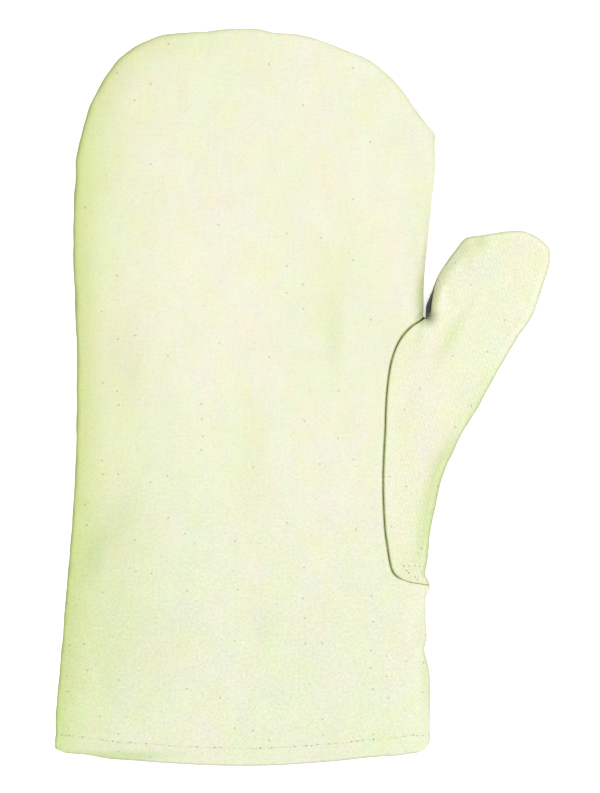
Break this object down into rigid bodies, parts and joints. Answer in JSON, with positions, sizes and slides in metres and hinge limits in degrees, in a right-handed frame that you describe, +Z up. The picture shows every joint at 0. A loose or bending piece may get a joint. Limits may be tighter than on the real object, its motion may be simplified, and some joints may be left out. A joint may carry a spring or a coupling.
{
  "type": "canvas oven glove",
  "caption": "Roomy canvas mitten with a set-in thumb and a hemmed cuff, worn on the right hand to hold hot things.",
  "frame": {"origin": "middle of the glove's footprint, on the surface that it lies on", "axes": "+Y from the hem to the fingertips, +X to the thumb's side, +Z up out of the palm"},
  "size_m": [0.2354, 0.35, 0.046],
  "materials": {
    "canvas": "matt undyed cotton twill with dark flecks of seed",
    "thumb_canvas": "the same cotton twill, cut with its diagonal the other way"
  },
  "bodies": {
    "root": {"palm_panel": "canvas", "back_panel": "canvas", "thumb_panel": "thumb_canvas", "cuff_hem": "canvas"}
  },
  "joints": []
}
